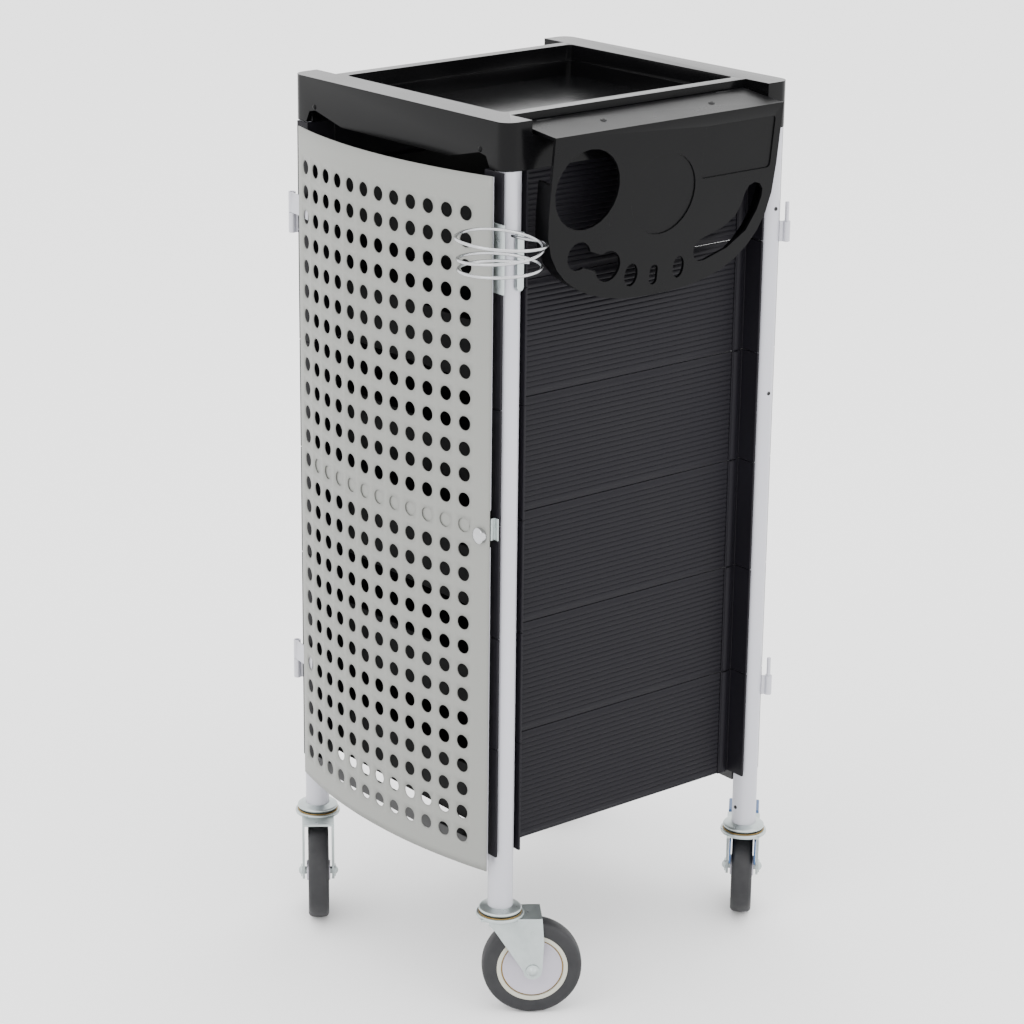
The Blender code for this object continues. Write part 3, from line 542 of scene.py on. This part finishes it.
softened("coil_mount_bar", 0.0006, zincPlate, 2)
softened("coil_clamp_plate", 0.0004, zincPlate, 2)
print("tool holder and drawers done")


# ---- dryer coil

coilLook = {"wire": 0.003, "centre": (middle[0] + 0.2065, middle[1] - 0.2159),
            "radius": 0.0428, "shrink": 0.0058, "turns": 2.9, "tail": 0.018, "top": 0.8115,
            "marks": (0.0, 0.5, 0.8, 1.25, 2.0, 3.0),
            "drops": (0.010, 0.0, 0.001, 0.0145, 0.027, 0.032), "stepsPerTurn": 72}


def coilPath():
    # circle about the centre whose radius closes in by 1 - exp(-0.9 turns) and whose height follows
    # smoothed marks; a straight lead from the mount bar before it and a straight tail after it
    look = coilLook
    turns = np.linspace(0, look["turns"], int(look["turns"] * look["stepsPerTurn"]))
    angle = np.pi / 2 - 2 * np.pi * turns
    radius = look["radius"] - look["shrink"] * (1 - np.exp(-0.9 * turns))
    drop = np.interp(turns, look["marks"], look["drops"])
    kernel = np.hanning(15) / np.hanning(15).sum()
    drop = np.convolve(np.pad(drop, 7, mode="edge"), kernel, mode="valid")
    ring = np.stack([look["centre"][0] + radius * np.cos(angle), look["centre"][1]
                     + radius * np.sin(angle), look["top"] - drop], axis=-1)
    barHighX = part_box("coil_mount_bar")[1][0]
    start = np.array([barHighX - 0.001, ring[0][1], ring[0][2] - 0.002])
    blend = np.linspace(0, 1, 9)[:-1, None]
    lead = start + (ring[0] - start) * blend
    lead[:, 2] = start[2] + (ring[0][2] - start[2]) * (blend[:, 0] ** 2)
    way = ring[-1] - ring[-2]
    way /= np.linalg.norm(way)
    tail = ring[-1] + way * (look["tail"] * np.linspace(0, 1, 7)[1:, None])
    return np.vstack([lead, ring, tail])


path = coilPath()
wire = carried("dryer_coil_wire", circleLoop(coilLook["wire"] / 2, 16), path, (0, 0, 1))
dress(smooth(wire, 50), "frame", chromeWire)
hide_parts("dryer_coil")
print("coil done")


# ---- casters

casterLook = {"trail": 0.032, "axleHeight": 0.050,
              "degrees": {"front_right": 54.8, "front_left": -35.2, "rear_right": 135.6,
                          "rear_left": 118.0}}


def arcPoints(centre, radius, start, end, count):
    angle = np.radians(np.linspace(start, end, count))
    return np.stack([centre[0] + radius * np.cos(angle), centre[1] + radius * np.sin(angle)], axis=-1)


def both(profile):
    # the profile's half at +h, followed by its mirror image at -h
    profile = np.asarray(profile, float)
    return np.vstack([profile, profile[::-1] * np.array([1, -1])])


treadSide = np.vstack([[(0.0345, 0.0088)], arcPoints((0.0362, 0.0093), 0.0012, 200, 90, 5),
                       arcPoints((0.0445, 0.0060), 0.0050, 80, 12, 9), [(0.0499, 0.0030)]])
rimSide = np.vstack([[(0.0290, 0.0070), (0.0312, 0.0072)],
                     arcPoints((0.0320, 0.0097), 0.0008, 180, 90, 4),
                     arcPoints((0.0348, 0.0097), 0.0008, 90, 0, 4), [(0.0356, 0.0080)]])
hubSide = np.vstack([[(0.0044, 0.0125), (0.0098, 0.0125)],
                     arcPoints((0.0098, 0.0115), 0.0010, 90, 10, 4),
                     [(0.0112, 0.0092), (0.0122, 0.0086), (0.0225, 0.0082), (0.0280, 0.0092)],
                     arcPoints((0.0290, 0.0090), 0.0008, 110, 0, 5), [(0.0298, 0.0060)]])
grooveSide = np.array([(0.0292, 0.0076), (0.0297, 0.0082), (0.0312, 0.0082), (0.0316, 0.0076)])

for corner in corners:
    boxLow, boxHigh = (np.array(v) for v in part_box("caster_stem_" + corner))
    stemMiddle = (boxLow + boxHigh) / 2
    turn = Matrix.Rotation(math.radians(casterLook["degrees"][corner]), 4, "Z")
    foot = Matrix.Translation((stemMiddle[0], stemMiddle[1], 0)) @ turn
    axlePlace = Matrix.Translation((casterLook["trail"], 0, casterLook["axleHeight"]))
    axle = foot @ axlePlace @ Matrix.Rotation(math.radians(90), 4, "X")
    wheelBody, swivelBody = "wheel_" + corner + "_body", "swivel_" + corner

    tread = place(lathe("tread_" + corner, both(treadSide), 96, closed=True), axle)
    dress(smooth(tread, 50), wheelBody, treadRubber)
    rim = place(lathe("rim_" + corner, both(rimSide), 96, closed=True), axle)
    dress(smooth(rim, 50), wheelBody, rimNylon)
    hub = place(lathe("hub_" + corner, both(hubSide), 96, closed=True), axle)
    dress(smooth(hub, 50), wheelBody, hubNylon)
    groove = place(lathe("rim_line_" + corner, both(grooveSide), 96, closed=True), axle)
    dress(smooth(groove, 50), wheelBody, yellowZinc)
    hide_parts("wheel_" + corner)

    # flange on the tube's foot: cone, rounded edge, plug inside the tube
    stem = lathe("caster_flange_" + corner, np.vstack([
        [(0.0, 0.150), (0.0098, 0.150), (0.0100, 0.1147), (0.0128, 0.1164), (0.0136, 0.1160),
         (0.0180, 0.1147)], arcPoints((0.0198, 0.1126), 0.0017, 70, -60, 7),
        [(0.0185, 0.1092), (0.0048, 0.1090), (0.0048, 0.0995), (0.0, 0.0995)]]), 72)
    place(stem, foot)
    dress(smooth(stem, 45), "frame", zincPlate)
    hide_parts("caster_stem_" + corner)

    # bowl of the ball race under it, with the yellow dust ring between the two
    bowl = lathe("race_bowl_" + corner, np.vstack([
        [(0.0060, 0.1084), (0.0215, 0.1086)], arcPoints((0.0226, 0.1076), 0.0012, 80, 0, 5),
        [(0.0240, 0.1062), (0.0236, 0.1050), (0.0222, 0.1042), (0.0200, 0.1038), (0.0060, 0.1037)]]),
        72, closed=True)
    place(bowl, foot)
    dress(smooth(bowl, 45), swivelBody, zincPlate)
    around = np.linspace(0, 2 * np.pi, 9)[:-1]
    ring = lathe("dust_ring_" + corner, np.stack([0.0209 + 0.0008 * np.cos(around),
                 0.1091 + 0.0006 * np.sin(around)], axis=-1), 72, closed=True)
    place(ring, foot)
    dress(smooth(ring, 60), swivelBody, yellowZinc)
    softened("fork_" + corner, 0.0008, zincPlate, 3)

    bolt = lathe("axle_bolt_" + corner, both(np.vstack([
                 [(0.0, 0.0212)], arcPoints((0.0, 0.0160), 0.0052, 80, 35, 5),
                 [(0.0048, 0.0186), (0.0066, 0.0184)], arcPoints((0.0066, 0.0180), 0.0004, 90, 0, 3),
                 [(0.0070, 0.0173), (0.0040, 0.0173)]])), 48)
    place(bolt, axle)
    dress(smooth(bolt, 40), swivelBody, zincPlate)
    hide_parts("axle_" + corner)
for corner in ("rear_left", "rear_right"):
    softened("brake_" + corner, 0.0010, brakeNylon, 3)
print("casters done")


# ---- floor, light and camera

studioLook = {"floor": "#FAFAFA", "sky": (1.0, 1.0, 1.0, 1.0), "skyStrength": 2.6}
floorMesh = meshObject("studio_floor", np.array([(-6, -6, 0), (6, -6, 0), (6, 6, 0), (-6, 6, 0)]),
                       [[0, 1, 2, 3]])
floorMaterial = newMaterial("paleFloor", {
    "Base Color": toLinear(studioLook["floor"]), "Roughness": 0.9})[0]
floorMesh.data.materials.append(floorMaterial)

world = bpy.data.worlds.new("softStudio")
world.use_nodes = True
world.node_tree.nodes["Background"].inputs["Color"].default_value = studioLook["sky"]
world.node_tree.nodes["Background"].inputs["Strength"].default_value = studioLook["skyStrength"]
bpy.context.scene.world = world


def softLight(name, spot, aim, size, power):
    light = bpy.data.lights.new(name, "AREA")
    light.size = size
    light.energy = power
    lamp = bpy.data.objects.new(name, light)
    lamp.location = Vector(spot) + Vector(middle)
    lamp.rotation_euler = (Vector(aim) - Vector(spot)).to_track_quat("-Z", "Y").to_euler()
    bpy.context.scene.collection.objects.link(lamp)
    return lamp


softLight("keyLight", (0.6, -3.2, 2.8), (0, 0, 0.5), 1.8, 30)
softLight("fillLight", (3.0, 0.8, 1.6), (0, 0, 0.4), 1.6, 12)
softLight("topLight", (-0.4, 0.9, 3.4), (0, 0, 0.7), 1.8, 25)

cameraLook = {"azimuth": 54.759, "pitch": 17.740, "roll": 0.6325, "lens": 104.18,
              "shiftX": 0.207, "shiftY": -0.0415, "spot": (2.22475, -1.86471, 1.42567)}
azimuth, pitch, roll = (math.radians(cameraLook[key]) for key in ("azimuth", "pitch", "roll"))
ahead = Vector((-math.sin(azimuth) * math.cos(pitch), math.cos(azimuth) * math.cos(pitch),
                -math.sin(pitch)))
level = ahead.cross(Vector((0, 0, 1))).normalized()
upward = level.cross(ahead)
right = math.cos(roll) * level - math.sin(roll) * upward
above = math.sin(roll) * level + math.cos(roll) * upward
cameraData = bpy.data.cameras.new("viewCamera")
cameraData.lens = cameraLook["lens"]
cameraData.sensor_width = 36
cameraData.shift_x = cameraLook["shiftX"]
cameraData.shift_y = cameraLook["shiftY"]
camera = bpy.data.objects.new("viewCamera", cameraData)
bpy.context.scene.collection.objects.link(camera)
camera.matrix_world = Matrix.Translation(Vector(cameraLook["spot"]) + Vector(middle)) @ Matrix(
    (right, above, -ahead)).transposed().to_4x4()
bpy.context.scene.camera = camera
print("studio done")
